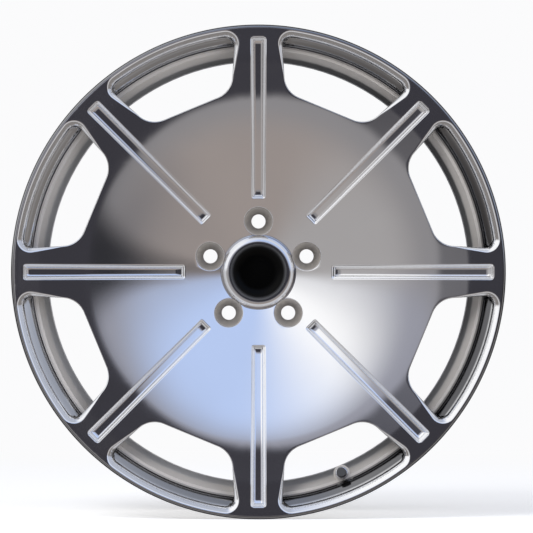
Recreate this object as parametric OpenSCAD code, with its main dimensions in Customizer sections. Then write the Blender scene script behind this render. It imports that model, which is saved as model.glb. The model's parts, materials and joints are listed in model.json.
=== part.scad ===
// Forged two-piece wheel: a full face disc with eight rim windows, bolted from behind to a barrel.
// The wheel axis is Y and the front face looks towards -Y. Z is up, and the origin lies on the
// axis at the middle of the rim width. Sizes are in millimetres.

/* [View] */
// Which sub-part to draw, or all of them

/* [Rim] */
// Diameter over the flanges
flange_d = 543; // [400:0.5:680]
// Width over both flanges
rim_w = 254; // [150:1:330]
// Height of the flange above the bead seat
flange_h = 17.5; // [12:0.5:24]
// Depth of the drop centre below the bead seat, measured on the radius
well_drop = 16.5; // [10:0.5:30]
// Wall of the barrel at the drop centre
barrel_wall = 4.2; // [3:0.1:10]
// Depth of the joint between disc and barrel, behind the front plane
joint_depth = 27; // [22:0.5:40]

/* [Face disc] */
// Depth of the hub face behind the front plane
hub_depth = 55; // [30:0.5:80]
// Depth of the mounting face behind the front plane
mount_depth = 92; // [80:0.5:140]
// Diameter of the flat that the cap bezel stands on
hub_flat_d = 81; // [60:0.5:110]
// Diameter of the mounting pad
pad_d = 150; // [140:1:190]
// Distance from the flange edge in to the knee between dish and ring
knee_inset = 78.5; // [60:0.5:100]
// Depth of the knee behind the front plane
knee_depth = 9; // [4:0.5:20]
// Number of windows, and of spokes between them
spoke_n = 8; // [5:1:12]
// Relief pockets in the mounting pad
pad_pocket_d = 21; // [10:0.5:26]
// Depth of those pockets
pad_pocket_depth = 12; // [4:0.5:24]

/* [Window] */
// Distance from the flange edge in to the window wall
window_edge = 11; // [8:0.5:16]
// Radius from the axis to the inner edge of a window
window_in_r = 194; // [140:0.5:215]
// Half width of a spoke beside the window, at its outer end
spoke_half = 26.1; // [22:0.1:34]
// Widening of that half width for each millimetre inwards
spoke_flare = 0.06; // [0:0.01:0.3]
// Corner radius at the inner edge of a window
window_in_corner = 26; // [10:0.5:32]
// Corner radius at the outer edge of a window
window_out_corner = 9; // [4:0.5:14]
// Depth of the bottom of the window bevel, behind the front plane
bevel_depth = 7; // [3:0.1:12]

/* [Groove] */
// Radius from the axis to the inner end of a groove
groove_in_r = 81; // [75:0.5:110]
// Distance from the flange edge in to the outer end of a groove
groove_edge = 13.5; // [10:0.5:30]
// Width of a groove at the face
groove_w = 16.6; // [8:0.1:24]
// Width of the groove floor
groove_floor_w = 8.4; // [3:0.1:14]
// Depth of a groove at its outer end
groove_depth = 7; // [2:0.1:9]
// Depth of a groove at its inner end
groove_in_depth = 4.6; // [1:0.1:9]

/* [Lugs] */
// Number of lug holes
lug_n = 5; // [3:1:8]
// Pitch circle of the lug holes
lug_pcd = 112; // [98:0.1:130]
// Diameter of the lug holes
lug_d = 15.6; // [12:0.1:18]
// Outside diameter of the steel seat inserts
insert_d = 31.6; // [24:0.1:32]
// Length of the seat inserts
insert_len = 18; // [12:0.5:24]
// Mouth diameter of the conical seat
seat_mouth_d = 30; // [20:0.1:31]
// Full angle of the conical seat
seat_angle = 60; // [50:1:90]

/* [Hub] */
// Diameter of the bore of the centring ring
hub_bore_d = 66.6; // [54:0.1:72]
// Outside diameter of the centring ring
ring_d = 73.1; // [60:0.1:76]
// Length of the centring ring
ring_len = 15; // [8:0.5:20]
// Clearance of parts pressed or pushed into a hole, on the radius
push_gap = 0.05; // [0.01:0.01:0.2]

/* [Centre cap] */
// Diameter of the bore in the disc that the cap slides into
cap_bore_d = 67.6; // [56:0.1:72]
// Outside diameter of the bezel
bezel_d = 80.4; // [60:0.1:90]
// Inside diameter of the bezel
bezel_in_d = 63; // [40:0.1:64]
// Height of the bezel above the hub face
bezel_h = 7.6; // [3:0.1:12]
// Radius of the rounded front of the bezel, whose top lies near its inner edge
bezel_round = 8.7; // [8.2:0.1:14]
// Gap between the cap and the bore it slides in, on the radius
cap_gap = 0.15; // [0.05:0.01:0.5]
// Wall of the cap skirt
cap_wall = 1.8; // [1.4:0.1:5]
// Depth of the cap floor below the hub face
cap_floor_depth = 16; // [6:0.1:20]
// Thickness of the cap floor
cap_floor = 2.4; // [1:0.1:4]
// Number of snap legs round the cap skirt
leg_n = 8; // [4:1:16]
// Width of the slots between the legs
leg_slot_w = 3; // [1:0.1:6]
// Wire diameter of the ring that spreads the legs
spring_ring_wire = 1.6; // [1:0.1:2.4]
// Section of the seal round the cap skirt
cap_seal_wire = 1.4; // [1:0.1:3]

/* [Rim hardware] */
// Diameter of the assembly bolts
bolt_d = 8; // [6:0.5:10]
// Diameter of the bolt heads
bolt_head_d = 13; // [9:0.1:16]
// Height of the bolt heads
bolt_head_h = 8; // [5:0.1:10]
// Distance of each bolt from the spoke centre line
bolt_side = 14; // [12:0.1:17]
// Distance from the well wall in to the bolt circle
bolt_inset = 9.3; // [8.4:0.1:14]
// Diameter of the washers
washer_d = 16; // [12:0.1:18]
// Thickness of the washers
washer_t = 1.6; // [1:0.1:2.5]
// Outside diameter of the thread inserts
thread_insert_d = 10; // [8:0.1:12]
// Length of the thread inserts
thread_insert_len = 13.5; // [8:0.1:14]
// Thickness of the barrel tabs behind the spokes
tab_t = 9; // [6:0.1:14]
// Half width of a barrel tab
tab_half = 23; // [18:0.5:26]
// Diameter of the dowel pins
dowel_d = 6; // [4:0.1:8]
// Length of the dowel pins
dowel_len = 14; // [8:0.1:16]
// Number of dowel pins
dowel_n = 4; // [2:1:8]
// Section of the seal between disc and barrel
seal_wire = 2.3; // [1.6:0.1:2.8]

/* [Valve] */
// Angle of the valve round the wheel, from the right-hand side
valve_angle = -67.5; // [-180:0.5:180]
// Distance from the bead seat in to the valve at its seat
valve_inset = 13.9; // [12:0.1:18]
// Lean of the valve towards the wheel axis
valve_tilt = 8; // [0:0.5:12]
// Diameter of the valve stem
stem_d = 7.7; // [6:0.1:8.5]
// Length of the stem in front of its seat
stem_len = 14; // [10:0.5:20]
// Diameter of the valve nut
valve_nut_d = 14; // [11:0.1:14.2]
// Height of the valve nut
valve_nut_h = 6.5; // [4:0.1:8]
// Diameter of the valve cap
valve_cap_d = 10; // [9:0.1:12]
// Length of the valve cap
valve_cap_len = 11; // [8:0.1:16]
// Running clearance of the cap on the stem, on the radius
valve_cap_gap = 0.1; // [0.05:0.01:0.3]

/* [Hidden] */
$fn = 96;

// rim, from the axis and from the middle of the rim width
front_z = rim_w / 2;
back_z = -rim_w / 2;
flange_r = flange_d / 2;
bead_r = flange_r - flange_h;
well_r = bead_r - well_drop;
well_in_r = well_r - barrel_wall;
joint_z = front_z - joint_depth;
bead_taper = 0.6;
ring_in_r = bead_r - 6.5;
ledge_r = bead_r - 9.5;

// disc
hub_z = front_z - hub_depth;
mount_z = front_z - mount_depth;
knee_r = flange_r - knee_inset;
knee_z = front_z - knee_depth;
ring_end_r = flange_r - 5;
ring_end_z = front_z - 0.8;
hub_flat_r = hub_flat_d / 2;
cone_slope = (knee_z - hub_z) / (knee_r - hub_flat_r);
ring_slope = (ring_end_z - knee_z) / (ring_end_r - knee_r);
cut = 1;
pad_edge = 4;
back_r = pad_d / 2 + 21;
back_z1 = mount_z + 25;
cap_bore_r = cap_bore_d / 2;
hub_bore_r = hub_bore_d / 2;

// window outline, drawn with the window on the +X axis
half_pitch = 180 / spoke_n;
window_out_r = flange_r - window_edge;
side_x = window_out_r - 5.5;
side_angle = half_pitch + atan(spoke_flare);
side_dir = [cos(side_angle), sin(side_angle)];
side_in = [sin(side_angle), -cos(side_angle)];
side_point = [
    side_x * cos(half_pitch) + spoke_half * sin(half_pitch),
    side_x * sin(half_pitch) - spoke_half * cos(half_pitch)
];
in_corner_base = side_point + window_in_corner * side_in;
in_corner_x = window_in_r + window_in_corner;
in_corner = in_corner_base + side_dir * (in_corner_x - in_corner_base[0]) / side_dir[0];
out_corner_base = side_point + window_out_corner * side_in;
out_corner_r = window_out_r - window_out_corner;
out_along = out_corner_base * side_dir;
out_shift = sqrt(out_corner_r ^ 2 - out_corner_base * out_corner_base + out_along ^ 2) - out_along;
out_corner = out_corner_base + side_dir * out_shift;
in_tangent = in_corner - window_in_corner * side_in;
out_tangent = out_corner - window_out_corner * side_in;
bevel_z = front_z - bevel_depth;
bevel_h = bevel_depth + 2;
corner_lap = 0.1;
side_lap = 0.25;
bevel_start = 3;
window_wall_r = bead_r - 4;
window_wall_z = joint_z + 11;

// groove
groove_out_r = flange_r - groove_edge;
groove_slope = (groove_w - groove_floor_w) / 2 / groove_depth;
groove_over = 4;
groove_end = 4;
groove_side = 30;

// hub and lugs
lug_r = lug_pcd / 2;
insert_top_z = hub_z - 0.5;
insert_z = insert_top_z - insert_len;
seat_depth = (seat_mouth_d - lug_d) / 2 / tan(seat_angle / 2);
ring_top_z = mount_z + ring_len;
ring_chamfer = 1.2;

// cap
skirt_r = cap_bore_r - cap_gap;
skirt_in_r = skirt_r - cap_wall;
skirt_end_z = ring_top_z + 1.5;
floor_z = hub_z - cap_floor_depth;
lining_r = bezel_in_d / 2 - push_gap;
lining_t = 1.6;
lining_top_z = hub_z + 2;
bezel_lift = 0.1;
bezel_lean = 0.6;
spring_ring_z = skirt_end_z + spring_ring_wire / 2 + 0.3;
cap_seal_z = hub_z - 6;
cap_seal_groove = 0.2;
cap_shoulder = 0.5;

// rim hardware
bolt_r = well_in_r - bolt_inset;
tab_in_r = bolt_r - 10.5;
tab_z = joint_z - tab_t;
bolt_head_z = tab_z - washer_t;
bolt_gap = 0.2;
socket_depth = bolt_head_h / 2;
socket_d = bolt_d * 0.86;
bolt_tip_z = joint_z + thread_insert_len - 1.5;
dowel_r = bolt_r + 12;
dowel_z = joint_z - dowel_len / 2;
seal_r = bead_r - 3.8;
seal_groove_w = seal_wire + 0.4;

// valve, measured along its own axis from the seat plane
valve_r = bead_r - valve_inset;
valve_z = joint_z - 1.6;
valve_hole_r = stem_d / 2 + 0.3;
seat_r = valve_nut_d / 2 + 0.2;
valve_washer_t = 1;
nut_flat_cut = 0.7;
nut_flat_h = 3;
pocket_s = -7;
pocket_r = 6.6;
pocket_end_s = -44;
boss_r = 9;
grommet_t = 3.5;
head_t = 4.5;
head_r = 5.9;
head_s = pocket_s - grommet_t - head_t;
chamber_s = -3;
chamber_r = 2.6;
passage_r = 1.7;
core_top_s = stem_len - 1.5;
pin_r = 0.7;
spring_len = 5;
spring_wire = 0.44;
spring_r = 1.35;
collar_t = 1;
valve_cap_s = valve_washer_t + valve_nut_h + 0.4;
valve_cap_end_s = valve_cap_s + valve_cap_len;
gasket_s = stem_len + 0.05;
gasket_t = 1.4;
flute_n = 16;
flute_r = 0.6;

// Height of the front face of the disc at radius r
function face_z(r) = r < knee_r
    ? hub_z + (r - hub_flat_r) * cone_slope
    : knee_z + (r - knee_r) * ring_slope;

// Repeats its children evenly about the wheel axis
module around(n, first = 0) {
    for (i = [0 : n - 1]) {
        rotate([0, 0, first + i * 360 / n]) {
            children();
        }
    }
}

// Places its children at the bolts, two behind each spoke
module at_bolts() {
    around(spoke_n) {
        for (side = [-1, 1]) {
            translate([bolt_r, side * bolt_side, 0]) {
                children();
            }
        }
    }
}

// Places its children at the valve seat, with Z along the stem
module at_valve() {
    rotate([0, 0, valve_angle]) {
        translate([valve_r, 0, valve_z]) {
            rotate([0, -valve_tilt, 0]) {
                children();
            }
        }
    }
}

// Tube along Z
module tube(r_out, r_in, z0, z1) {
    translate([0, 0, z0]) {
        difference() {
            cylinder(h = z1 - z0, r = r_out);
            translate([0, 0, -cut]) {
                cylinder(h = z1 - z0 + 2 * cut, r = r_in);
            }
        }
    }
}

// Solid disc or rod along Z
module rod(r, z0, z1) {
    translate([0, 0, z0]) {
        cylinder(h = z1 - z0, r = r);
    }
}

// Turned blank of the face disc
module disc_blank() {
    rotate_extrude() {
        polygon([
            [cap_bore_r, mount_z],
            [pad_d / 2, mount_z],
            [pad_d / 2 + pad_edge, mount_z + pad_edge],
            [back_r, back_z1],
            [knee_r, joint_z - 2],
            [knee_r + 6, joint_z],
            [bead_r - bead_taper, joint_z],
            [bead_r, joint_z + 5],
            [bead_r + 1.2, joint_z + 9],
            [bead_r + 4.5, joint_z + 12.5],
            [flange_r - 8, joint_z + 16.5],
            [flange_r - 3.4, front_z - 9.2],
            [flange_r - 0.9, front_z - 8],
            [flange_r, front_z - 6.2],
            [flange_r, front_z - 3.8],
            [flange_r - 0.4, front_z - 2.2],
            [flange_r - 1.5, front_z - 0.8],
            [flange_r - 3.2, front_z],
            [ring_end_r, ring_end_z],
            [knee_r, knee_z],
            [hub_flat_r, hub_z],
            [cap_bore_r, hub_z]
        ]);
    }
}

// Plan of one window, with exact round corners and an arc along the rim
module window_plan() {
    polygon([
        [window_in_r, -in_corner[1]],
        [in_tangent[0], -in_tangent[1]],
        [out_tangent[0], -out_tangent[1]],
        [out_corner[0], -out_corner[1]],
        [out_corner[0], out_corner[1]],
        [out_tangent[0], out_tangent[1]],
        [in_tangent[0], in_tangent[1]],
        [window_in_r, in_corner[1]]
    ]);
    for (side = [-1, 1]) {
        translate([in_corner[0], side * in_corner[1]]) {
            circle(r = window_in_corner + corner_lap);
        }
        translate([out_corner[0], side * out_corner[1]]) {
            circle(r = window_out_corner + corner_lap);
        }
    }
    intersection() {
        circle(r = window_out_r);
        window_fan();
    }
}

// Flat fan between the two outer corners of a window
module window_fan() {
    polygon([
        [out_corner[0], -out_corner[1]],
        [1.3 * out_corner[0], -1.3 * out_corner[1]],
        [1.3 * out_corner[0], 1.3 * out_corner[1]],
        [out_corner[0], out_corner[1]]
    ]);
}

// Everything cut away for one window
module window_cut() {
    intersection() {
        translate([0, 0, mount_z]) {
            linear_extrude(height = mount_depth + cut) {
                window_plan();
            }
        }
        rotate_extrude() {
            polygon([
                [0, mount_z],
                [ring_in_r, mount_z],
                [ring_in_r, joint_z],
                [window_wall_r, window_wall_z],
                [window_out_r, bevel_z],
                [window_out_r, front_z + cut],
                [0, front_z + cut]
            ]);
        }
    }
    window_bevel();
}

// Bevel round the outer half of a window
module window_bevel() {
    intersection() {
        rotate_extrude() {
            polygon([
                [window_out_r - 12, bevel_z],
                [window_out_r - side_lap, bevel_z],
                [window_out_r - side_lap + bevel_h, bevel_z + bevel_h],
                [window_out_r - 12, bevel_z + bevel_h]
            ]);
        }
        translate([0, 0, bevel_z - cut]) {
            linear_extrude(height = bevel_h + 2 * cut) {
                window_fan();
            }
        }
    }
    cone_r = window_out_corner - corner_lap;
    for (side = [0, 1]) {
        mirror([0, side, 0]) {
            translate([out_corner[0], out_corner[1], bevel_z]) {
                cylinder(h = bevel_h, r1 = cone_r, r2 = cone_r + bevel_h);
            }
            translate([in_tangent[0], in_tangent[1], bevel_z]) {
                rotate([0, 0, side_angle]) {
                    translate([bevel_start, 0, 0]) {
                        rotate([90, 0, 90]) {
                            side_bevel(norm(out_tangent - in_tangent) - bevel_start + cut);
                        }
                    }
                }
            }
        }
    }
}

// Wedge that bevels one straight side of a window
module side_bevel(length) {
    linear_extrude(height = length) {
        polygon([
            [-cut, 0],
            [-side_lap, 0],
            [bevel_h - side_lap, bevel_h],
            [-cut, bevel_h]
        ]);
    }
}

// Straight trough with sloping sides, whose middle line follows a sloping face
module groove_trough(slope, z_at_axis) {
    under_half = groove_floor_w / 2 - cut * groove_slope;
    top_half = groove_w / 2 + groove_over * groove_slope;
    translate([0, 0, z_at_axis]) {
        rotate([0, -atan(slope), 0]) {
            rotate([90, 0, 90]) {
                linear_extrude(height = flange_r * 1.2) {
                    polygon([
                        [-under_half, -groove_depth - cut],
                        [under_half, -groove_depth - cut],
                        [top_half, groove_over],
                        [-top_half, groove_over]
                    ]);
                }
            }
        }
    }
}

// Recess along one spoke
module groove_cut() {
    in_floor_r = groove_in_r + groove_end;
    out_floor_r = groove_out_r - groove_end;
    intersection() {
        translate([0, groove_side / 2, 0]) {
            rotate([90, 0, 0]) {
                linear_extrude(height = groove_side) {
                    polygon([
                        [in_floor_r, face_z(in_floor_r) - groove_in_depth],
                        [knee_r, knee_z - groove_depth + 0.2],
                        [out_floor_r, face_z(out_floor_r) - groove_depth],
                        [groove_out_r, face_z(groove_out_r)],
                        [groove_out_r + 2, face_z(groove_out_r) + groove_over],
                        [knee_r, knee_z + groove_over],
                        [groove_in_r - 3, face_z(groove_in_r) + groove_over],
                        [groove_in_r, face_z(groove_in_r)]
                    ]);
                }
            }
        }
        union() {
            groove_trough(cone_slope, hub_z - hub_flat_r * cone_slope);
            groove_trough(ring_slope, knee_z - knee_r * ring_slope);
        }
    }
}

// Front disc with windows, grooves, lug pockets and the bolt and dowel holes
module face_disc() {
    color([0.80, 0.81, 0.83]) {
        difference() {
            disc_blank();
            around(spoke_n, half_pitch) {
                window_cut();
            }
            around(spoke_n) {
                groove_cut();
            }
            rod(ring_d / 2, mount_z - cut, ring_top_z);
            around(lug_n, 90) {
                translate([lug_r, 0, 0]) {
                    rod(insert_d / 2, insert_z, front_z);
                    rod(lug_d / 2, mount_z - cut, front_z);
                }
            }
            around(lug_n, 90 + 180 / lug_n) {
                translate([lug_r, 0, 0]) {
                    rod(pad_pocket_d / 2, mount_z - cut, mount_z + pad_pocket_depth);
                }
            }
            at_bolts() {
                rod(thread_insert_d / 2, joint_z - cut, joint_z + thread_insert_len + 0.5);
            }
            around(dowel_n) {
                translate([dowel_r, 0, 0]) {
                    rod(dowel_d / 2, joint_z - cut, dowel_z + dowel_len + 0.5);
                }
            }
        }
    }
}

// Steel conical seats pressed into the lug pockets
module lug_seat_inserts() {
    color([0.62, 0.62, 0.60]) {
        around(lug_n, 90) {
            translate([lug_r, 0, insert_z]) {
                difference() {
                    cylinder(h = insert_len, r = insert_d / 2 - push_gap);
                    translate([0, 0, -cut]) {
                        cylinder(h = insert_len + 2 * cut, r = lug_d / 2);
                    }
                    translate([0, 0, insert_len - seat_depth]) {
                        cylinder(h = seat_depth, r1 = lug_d / 2, r2 = seat_mouth_d / 2);
                    }
                }
            }
        }
    }
}

// Ring that centres the wheel on the vehicle hub
module hub_ring() {
    color([0.70, 0.71, 0.72]) {
        rotate_extrude() {
            polygon([
                [hub_bore_r + ring_chamfer, mount_z],
                [ring_d / 2 - push_gap, mount_z],
                [ring_d / 2 - push_gap, ring_top_z],
                [hub_bore_r, ring_top_z],
                [hub_bore_r, mount_z + ring_chamfer]
            ]);
        }
    }
}

// Threaded bushes in the back of the spokes
module thread_inserts() {
    color([0.72, 0.66, 0.50]) {
        at_bolts() {
            tube(thread_insert_d / 2 - push_gap, bolt_d / 2 + push_gap,
                joint_z + 0.3, joint_z + thread_insert_len);
        }
    }
}

// Turned section of the barrel
module barrel_blank() {
    rotate_extrude() {
        polygon([
            [ledge_r, joint_z],
            [bead_r - bead_taper, joint_z],
            [bead_r - 2 * bead_taper, joint_z - 8],
            [bead_r - 0.4, joint_z - 10],
            [bead_r - 0.4, joint_z - 12],
            [bead_r - 2, joint_z - 15],
            [well_r, joint_z - 37],
            [well_r, joint_z - 58],
            [well_r + 6, joint_z - 70],
            [well_r + 7.5, back_z + 42],
            [bead_r - 2, back_z + 35],
            [bead_r - 0.4, back_z + 32],
            [bead_r - 0.4, back_z + 30],
            [bead_r - 1.2, back_z + 28],
            [bead_r, back_z + 14],
            [bead_r + 2, back_z + 10.5],
            [bead_r + 6.5, back_z + 8.5],
            [flange_r - 3, back_z + 7.2],
            [flange_r - 0.8, back_z + 5.6],
            [flange_r, back_z + 3.4],
            [flange_r - 0.6, back_z + 1.2],
            [flange_r - 2.4, back_z],
            [bead_r + 6, back_z + 0.6],
            [bead_r - 1, back_z + 5],
            [bead_r - 5, back_z + 12],
            [bead_r - 5.5, back_z + 27],
            [well_in_r + 7.5, back_z + 42],
            [well_in_r + 6, joint_z - 70],
            [well_in_r, joint_z - 60],
            [well_in_r, joint_z - 30],
            [ledge_r - 1, joint_z - 3]
        ]);
    }
}

// Tab behind one spoke that the bolts pass through
module barrel_tab() {
    corner = 6;
    translate([0, 0, tab_z]) {
        linear_extrude(height = tab_t) {
            intersection() {
                circle(r = ledge_r + 0.5);
                union() {
                    translate([tab_in_r + corner, -tab_half]) {
                        square([well_drop * 2 + 10, 2 * tab_half]);
                    }
                    translate([tab_in_r, corner - tab_half]) {
                        square([corner + cut, 2 * (tab_half - corner)]);
                    }
                    for (side = [-1, 1]) {
                        translate([tab_in_r + corner, side * (tab_half - corner)]) {
                            circle(r = corner);
                        }
                    }
                }
            }
        }
    }
}

// Boss inside the barrel that carries the valve
module valve_boss() {
    intersection() {
        at_valve() {
            rod(boss_r, pocket_end_s + 14, 6);
        }
        rotate_extrude() {
            polygon([
                [well_in_r - 20, joint_z - 34],
                [well_r - 1.5, joint_z - 34],
                [bead_r - 9, joint_z - 18],
                [ledge_r + 1, joint_z],
                [well_in_r - 20, joint_z]
            ]);
        }
    }
}

// Barrel with both flanges' seats, the bolt tabs, the seal groove and the valve hole
module barrel() {
    color([0.76, 0.77, 0.79]) {
        difference() {
            union() {
                barrel_blank();
                around(spoke_n) {
                    barrel_tab();
                }
                valve_boss();
            }
            rotate_extrude() {
                translate([seal_r - seal_groove_w / 2, joint_z - seal_wire]) {
                    square([seal_groove_w, seal_wire + cut]);
                }
            }
            at_bolts() {
                rod(bolt_d / 2 + bolt_gap, tab_z - cut, joint_z + cut);
            }
            around(dowel_n) {
                translate([dowel_r, 0, 0]) {
                    rod(dowel_d / 2, tab_z - cut, joint_z + cut);
                }
            }
            at_valve() {
                rod(seat_r, 0, 8);
                rod(valve_hole_r, pocket_s - cut, cut);
                rod(pocket_r, pocket_end_s, pocket_s);
            }
        }
    }
}

// Seal in the face of the barrel
module barrel_seal_ring() {
    color([0.08, 0.08, 0.08]) {
        rotate_extrude() {
            translate([seal_r, joint_z - seal_wire / 2]) {
                circle(r = seal_wire / 2, $fn = 32);
            }
        }
    }
}

// Socket head bolts put in from behind
module assembly_bolts() {
    color([0.55, 0.56, 0.58]) {
        at_bolts() {
            difference() {
                union() {
                    rod(bolt_head_d / 2, bolt_head_z - bolt_head_h, bolt_head_z);
                    rod(bolt_d / 2, bolt_head_z - cut, bolt_tip_z);
                }
                translate([0, 0, bolt_head_z - bolt_head_h - cut]) {
                    cylinder(h = socket_depth + cut, d = socket_d, $fn = 6);
                }
            }
        }
    }
}

// Washers under the bolt heads
module bolt_washers() {
    color([0.60, 0.60, 0.62]) {
        at_bolts() {
            tube(washer_d / 2, bolt_d / 2 + bolt_gap, bolt_head_z, tab_z);
        }
    }
}

// Pins that hold disc and barrel in line
module dowel_pins() {
    color([0.50, 0.51, 0.53]) {
        around(dowel_n) {
            translate([dowel_r, 0, 0]) {
                rod(dowel_d / 2 - push_gap, dowel_z, dowel_z + dowel_len);
            }
        }
    }
}

// Polished ring round the cap
module cap_bezel() {
    color([0.86, 0.87, 0.88]) {
        rotate_extrude() {
            intersection() {
                translate([bezel_in_d / 2, hub_z + bezel_lift]) {
                    square([(bezel_d - bezel_in_d) / 2, bezel_h - bezel_lift]);
                }
                translate([bezel_in_d / 2 + bezel_lean, hub_z + bezel_h - bezel_round]) {
                    circle(r = bezel_round, $fn = 96);
                }
            }
        }
    }
}

// Black dished face of the cap, with its side wall
module cap_face() {
    color([0.02, 0.02, 0.02]) {
        tube(lining_r, lining_r - lining_t, floor_z + cap_floor, lining_top_z);
        rod(lining_r - lining_t / 2, floor_z + cap_floor, floor_z + cap_floor + lining_t);
    }
}

// Cap moulding with floor and snap legs
module cap_body() {
    color([0.10, 0.10, 0.11]) {
        difference() {
            union() {
                tube(skirt_r, skirt_in_r, skirt_end_z, hub_z + bezel_lift);
                rod(skirt_in_r + cap_shoulder, floor_z, floor_z + cap_floor);
                tube(skirt_in_r + 0.5, lining_r + push_gap, floor_z, hub_z + bezel_lift);
            }
            around(leg_n) {
                translate([skirt_in_r - 4, -leg_slot_w / 2, skirt_end_z - cut]) {
                    cube([cap_wall + 8, leg_slot_w, floor_z - skirt_end_z]);
                }
            }
            rotate_extrude() {
                translate([skirt_r - cap_seal_wire + 0.1, cap_seal_z - cap_seal_wire / 2 - 0.1]) {
                    square([cap_seal_wire + cut, cap_seal_wire + cap_seal_groove]);
                }
            }
        }
    }
}

// Wire ring that spreads the snap legs
module cap_spring_ring() {
    color([0.45, 0.46, 0.48]) {
        rotate_extrude() {
            translate([skirt_in_r - spring_ring_wire / 2, spring_ring_z]) {
                circle(r = spring_ring_wire / 2, $fn = 24);
            }
        }
    }
}

// Rubber ring round the cap skirt
module cap_o_ring() {
    color([0.06, 0.06, 0.06]) {
        rotate_extrude() {
            translate([skirt_r - cap_seal_wire / 2 + 0.1, cap_seal_z]) {
                circle(r = cap_seal_wire / 2, $fn = 24);
            }
        }
    }
}

// Valve stem with its head in the tyre chamber
module valve_stem() {
    color([0.78, 0.76, 0.70]) {
        at_valve() {
            difference() {
                union() {
                    rod(head_r, head_s, head_s + head_t);
                    rod(stem_d / 2, head_s, stem_len);
                }
                rod(passage_r, head_s - cut, stem_len + cut);
                rod(chamber_r, chamber_s, stem_len + cut);
            }
        }
    }
}

// Rubber seal between valve head and barrel
module valve_grommet() {
    color([0.07, 0.07, 0.07]) {
        at_valve() {
            tube(pocket_r - 0.2, stem_d / 2 + push_gap, pocket_s - grommet_t, pocket_s);
        }
    }
}

// Washer on the valve seat
module valve_washer() {
    color([0.72, 0.72, 0.72]) {
        at_valve() {
            tube(valve_nut_d / 2 - 0.3, stem_d / 2 + push_gap, 0, valve_washer_t);
        }
    }
}

// Round nut that clamps the valve
module valve_nut() {
    nut_top = valve_washer_t + valve_nut_h;
    color([0.82, 0.82, 0.83]) {
        at_valve() {
            difference() {
                tube(valve_nut_d / 2, stem_d / 2 + push_gap, valve_washer_t, nut_top);
                for (side = [0, 1]) {
                    mirror([side, 0, 0]) {
                        translate([valve_nut_d / 2 - nut_flat_cut, -valve_nut_d / 2, nut_top - nut_flat_h]) {
                            cube([valve_nut_d, valve_nut_d, nut_flat_h + cut]);
                        }
                    }
                }
            }
        }
    }
}

// Screwed body of the valve core
module valve_core_body() {
    color([0.76, 0.64, 0.36]) {
        at_valve() {
            difference() {
                rod(chamber_r - push_gap, chamber_s, core_top_s);
                rod(pin_r + 0.2, chamber_s - cut, core_top_s + cut);
                rod(spring_r + 0.6, 0, spring_len + collar_t + 1);
            }
        }
    }
}

// Pin of the valve core, with its seal and spring collar
module valve_pin() {
    color([0.80, 0.70, 0.42]) {
        at_valve() {
            rod(pin_r, chamber_s - 2, core_top_s + 0.7);
            rod(passage_r - 0.25, chamber_s - 2, chamber_s - 0.1);
            rod(spring_r + 0.3, spring_len, spring_len + collar_t);
        }
    }
}

// Coil spring under the collar of the pin
module valve_spring() {
    color([0.62, 0.63, 0.65]) {
        at_valve() {
            linear_extrude(height = spring_len, twist = -360 * 5, slices = 90, segments = 10, $fn = 10) {
                translate([spring_r, 0]) {
                    circle(d = spring_wire, $fn = 10);
                }
            }
        }
    }
}

// Screw cap over the end of the stem
module valve_cap() {
    color([0.20, 0.20, 0.21]) {
        at_valve() {
            difference() {
                rod(valve_cap_d / 2, valve_cap_s, valve_cap_end_s);
                rod(stem_d / 2 + valve_cap_gap, valve_cap_s - cut, gasket_s + gasket_t);
                around(flute_n) {
                    translate([valve_cap_d / 2 + flute_r / 2, 0, 0]) {
                        rod(flute_r, valve_cap_s - cut, valve_cap_end_s - 2);
                    }
                }
            }
        }
    }
}

// Soft disc inside the screw cap
module valve_cap_gasket() {
    color([0.12, 0.12, 0.12]) {
        at_valve() {
            rod(stem_d / 2 + valve_cap_gap - 0.02, gasket_s, gasket_s + gasket_t);
        }
    }
}

rotate([90, 0, 0]) {
    face_disc();
    lug_seat_inserts();
    hub_ring();
    thread_inserts();
    barrel();
    barrel_seal_ring();
    assembly_bolts();
    bolt_washers();
    dowel_pins();
    cap_bezel();
    cap_face();
    cap_body();
    cap_spring_ring();
    cap_o_ring();
    valve_stem();
    valve_grommet();
    valve_washer();
    valve_nut();
    valve_core_body();
    valve_pin();
    valve_spring();
    valve_cap();
    valve_cap_gasket();
}
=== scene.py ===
"""Forged two-piece wheel: polished front disc, barrel, centre cap and valve, in a pale studio.

Row frame: the wheel axis is Y, the front looks towards -Y and Z is up. Sizes in the classes are
millimetres in the wheel's own frame, where x is right, y is up and z points out of the front.
"""

import json
import logging
import math
from dataclasses import dataclass, field
from enum import Enum

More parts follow.
